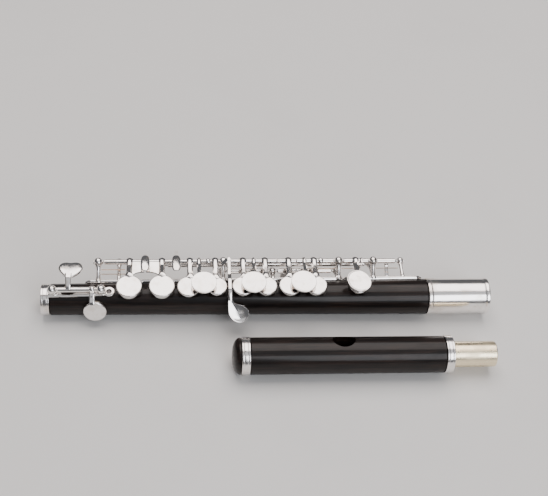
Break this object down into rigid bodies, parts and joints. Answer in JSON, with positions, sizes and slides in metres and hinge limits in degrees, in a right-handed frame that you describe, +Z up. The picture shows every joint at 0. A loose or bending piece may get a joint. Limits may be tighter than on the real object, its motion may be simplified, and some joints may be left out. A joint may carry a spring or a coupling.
{
  "type": "wooden piccolo in two joints",
  "caption": "Wooden piccolo laid out in two joints: a slim dark body joint with sprung silver keys on rods, and a plain head joint with an oval blowing hole and a metal tenon.",
  "frame": {"origin": "middle of the underside of the box round both joints as they lie on a flat surface", "axes": "+X from the foot end towards the head end, +Y from the head joint towards the rods and the player's side, +Z up"},
  "size_m": [0.2132, 0.065, 0.0251],
  "materials": {
    "grenadilla": "near-black grenadilla, oiled and polished to a soft gloss",
    "silver_plate": "polished silver plate",
    "nickel_silver": "plain nickel silver with fine lengthwise wear",
    "hinge_steel": "turned steel",
    "spring_bronze": "pale bronze needle spring",
    "pad_skin": "thin pale pad skin over felt",
    "cork": "plain cork"
  },
  "bodies": {
    "body_joint": {"body_wood": "grenadilla", "foot_ring": "silver_plate", "barrel": "silver_plate", "socket_liner": "nickel_silver", "lower_rib": "silver_plate", "upper_rib": "silver_plate", "foot_strap": "silver_plate", "strap_screw": "hinge_steel", "right_hand_steel": "hinge_steel", "left_hand_steel": "hinge_steel", "c_key_steel": "hinge_steel", "g_sharp_steel": "hinge_steel", "thumb_steel": "hinge_steel", "d_trill_steel": "hinge_steel", "d_sharp_trill_steel": "hinge_steel", "e_flat_steel": "hinge_steel", "d_spring": "spring_bronze", "e_spring": "spring_bronze", "a_spring": "spring_bronze", "c_spring": "spring_bronze", "trill_spring": "spring_bronze"},
    "e_flat": {"e_flat_key": "silver_plate", "e_flat_pad": "pad_skin"},
    "d": {"d_key": "silver_plate", "d_pad": "pad_skin"},
    "e": {"e_key": "silver_plate", "e_pad": "pad_skin"},
    "f": {"f_key": "silver_plate", "f_pad": "pad_skin", "right_index_touch": "silver_plate"},
    "f_sharp": {"f_sharp_key": "silver_plate", "f_sharp_pad": "pad_skin"},
    "g": {"g_key": "silver_plate", "lower_g_pad": "pad_skin", "upper_g_pad": "pad_skin", "left_ring_touch": "silver_plate"},
    "b_flat": {"b_flat_key": "silver_plate", "b_flat_pad": "pad_skin"},
    "a": {"a_key": "silver_plate", "a_pad": "pad_skin", "left_middle_touch": "silver_plate"},
    "c": {"c_key": "silver_plate", "c_pad": "pad_skin", "left_index_touch": "silver_plate"},
    "g_sharp": {"g_sharp_key": "silver_plate", "g_sharp_pad": "pad_skin"},
    "thumb_b": {"thumb_b_key": "silver_plate", "thumb_b_pad": "pad_skin"},
    "thumb_b_flat": {"thumb_b_flat_lever": "silver_plate"},
    "d_trill": {"d_trill_key": "silver_plate", "d_trill_pad": "pad_skin"},
    "d_sharp_trill": {"d_sharp_trill_key": "silver_plate", "d_sharp_trill_pad": "pad_skin"},
    "head_joint": {"head_wood": "grenadilla", "crown_ring": "silver_plate", "head_ring": "silver_plate", "tenon": "nickel_silver", "stopper_cork": "cork", "stopper_screw": "nickel_silver"},
    "crown": {"crown": "grenadilla"}
  },
  "joints": [
    {"name": "e_flat_pivot", "type": "hinge", "parent": "body_joint", "child": "e_flat", "pos_m": [-0.08984, 0.00884, 0.01772], "axis": [1, 0, 0.0082], "range_deg": [-10, 0], "stiffness_Nm_per_rad": 0.01, "springref_deg": 22.92},
    {"name": "d_pivot", "type": "hinge", "parent": "body_joint", "child": "d", "pos_m": [-0.0684, 0.02474, 0.01948], "axis": [1, 0, 0.0082], "range_deg": [0, 7], "stiffness_Nm_per_rad": 0.01, "springref_deg": -22.92},
    {"name": "e_pivot", "type": "hinge", "parent": "body_joint", "child": "e", "pos_m": [-0.0515, 0.02474, 0.01962], "axis": [1, 0, 0.0082], "range_deg": [0, 7], "stiffness_Nm_per_rad": 0.01, "springref_deg": -22.92},
    {"name": "f_pivot", "type": "hinge", "parent": "body_joint", "child": "f", "pos_m": [-0.0357, 0.02474, 0.01975], "axis": [1, 0, 0.0082], "range_deg": [0, 7], "stiffness_Nm_per_rad": 0.01, "springref_deg": -22.92},
    {"name": "f_sharp_pivot", "type": "hinge", "parent": "body_joint", "child": "f_sharp", "pos_m": [-0.0257, 0.02474, 0.01983], "axis": [1, 0, 0.0082], "range_deg": [0, 7], "stiffness_Nm_per_rad": 0.01, "springref_deg": -22.92},
    {"name": "g_pivot", "type": "hinge", "parent": "body_joint", "child": "g", "pos_m": [-0.0078, 0.02474, 0.01998], "axis": [1, 0, 0.0082], "range_deg": [0, 7], "stiffness_Nm_per_rad": 0.01, "springref_deg": -22.92},
    {"name": "b_flat_pivot", "type": "hinge", "parent": "body_joint", "child": "b_flat", "pos_m": [0.0085, 0.02474, 0.02012], "axis": [1, 0, 0.0082], "range_deg": [0, 7], "stiffness_Nm_per_rad": 0.01, "springref_deg": -22.92},
    {"name": "a_pivot", "type": "hinge", "parent": "body_joint", "child": "a", "pos_m": [0.0223, 0.02474, 0.02023], "axis": [1, 0, 0.0082], "range_deg": [0, 7], "stiffness_Nm_per_rad": 0.01, "springref_deg": -22.92},
    {"name": "c_pivot", "type": "hinge", "parent": "body_joint", "child": "c", "pos_m": [0.04225, 0.02474, 0.02039], "axis": [1, 0, 0.0082], "range_deg": [0, 7], "stiffness_Nm_per_rad": 0.01, "springref_deg": -22.92},
    {"name": "g_sharp_pivot", "type": "hinge", "parent": "body_joint", "child": "g_sharp", "pos_m": [-0.00991, 0.02325, 0.01485], "axis": [1, 0, 0.0082], "range_deg": [0, 8], "stiffness_Nm_per_rad": 0.01, "springref_deg": -22.92},
    {"name": "thumb_b_pivot", "type": "hinge", "parent": "body_joint", "child": "thumb_b", "pos_m": [0.02204, 0.02325, 0.01511], "axis": [1, 0, 0.0082], "range_deg": [-8, 0], "stiffness_Nm_per_rad": 0.01, "springref_deg": 22.92},
    {"name": "thumb_b_flat_pivot", "type": "hinge", "parent": "body_joint", "child": "thumb_b_flat", "pos_m": [0.00889, 0.02325, 0.01501], "axis": [1, 0, 0.0082], "range_deg": [-8, 0], "stiffness_Nm_per_rad": 0.01, "springref_deg": 22.92},
    {"name": "d_trill_pivot", "type": "hinge", "parent": "body_joint", "child": "d_trill", "pos_m": [-0.00292, 0.02821, 0.01623], "axis": [1, 0, 0.0082], "range_deg": [0, 8], "stiffness_Nm_per_rad": 0.01, "springref_deg": -22.92},
    {"name": "d_sharp_trill_pivot", "type": "hinge", "parent": "body_joint", "child": "d_sharp_trill", "pos_m": [0.00001, 0.02992, 0.01247], "axis": [1, 0, 0.0082], "range_deg": [0, 8], "stiffness_Nm_per_rad": 0.01, "springref_deg": -22.92},
    {"name": "head_joint_lift", "type": "slide", "parent": "body_joint", "child": "head_joint", "axis": [0, 0, 1], "range_m": [0, 0.1]},
    {"name": "crown_turn", "type": "hinge", "parent": "head_joint", "child": "crown", "pos_m": [-0.01735, -0.02366, 0.0088], "axis": [1, 0, 0], "continuous": true}
  ],
  "couplings": [
    {"joint": "f_sharp_pivot", "follows": "f_pivot", "ratio": 1},
    {"joint": "b_flat_pivot", "follows": "a_pivot", "ratio": 1}
  ]
}
